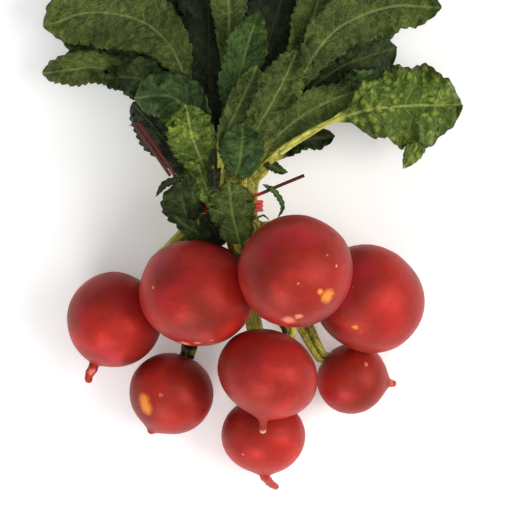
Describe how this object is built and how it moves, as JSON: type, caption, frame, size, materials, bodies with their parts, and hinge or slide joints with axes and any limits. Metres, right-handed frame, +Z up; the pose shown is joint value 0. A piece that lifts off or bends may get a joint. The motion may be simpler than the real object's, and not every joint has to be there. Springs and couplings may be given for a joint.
{
  "type": "bunch of radishes",
  "caption": "Tied bunch of globe radishes lying down, red roots piled at one end and a fanned tuft of green leaves at the other.",
  "frame": {"origin": "middle of the bunch's box, on the surface that it lies on", "axes": "+Y from the roots towards the leaf tips, +X to the right when looking down with the leaves away from the viewer, +Z up"},
  "size_m": [0.1634, 0.2426, 0.0814],
  "materials": {
    "radish_skin": null,
    "leaf": null,
    "tie": "red plastic-coated tie wire"
  },
  "bodies": {
    "root": {"radish_left": "radish_skin", "radish_mid_left": "radish_skin", "radish_top": "radish_skin", "radish_right": "radish_skin", "radish_lower_left": "radish_skin", "radish_centre": "radish_skin", "radish_lower_right": "radish_skin", "radish_bottom": "radish_skin", "leaf_01": "leaf", "leaf_02": "leaf", "leaf_03": "leaf", "leaf_04": "leaf", "leaf_05": "leaf", "leaf_06": "leaf", "leaf_07": "leaf", "leaf_08": "leaf", "leaf_09": "leaf", "leaf_10": "leaf", "leaf_11": "leaf", "leaf_12": "leaf", "leaf_13": "leaf", "leaf_14": "leaf", "leaf_15": "leaf", "leaf_16": "leaf", "leaf_17": "leaf", "leaf_18": "leaf", "leaf_19": "leaf", "leaf_20": "leaf", "leaf_21": "leaf", "leaf_22": "leaf", "leaf_23": "leaf", "leaf_24": "leaf", "leaf_25": "leaf", "leaf_26": "leaf", "leaf_27": "leaf", "leaf_28": "leaf", "leaf_29": "leaf", "leaf_30": "leaf", "leaf_31": "leaf", "leaf_32": "leaf", "leaf_33": "leaf", "leaf_34": "leaf", "tie": "tie"}
  },
  "joints": []
}
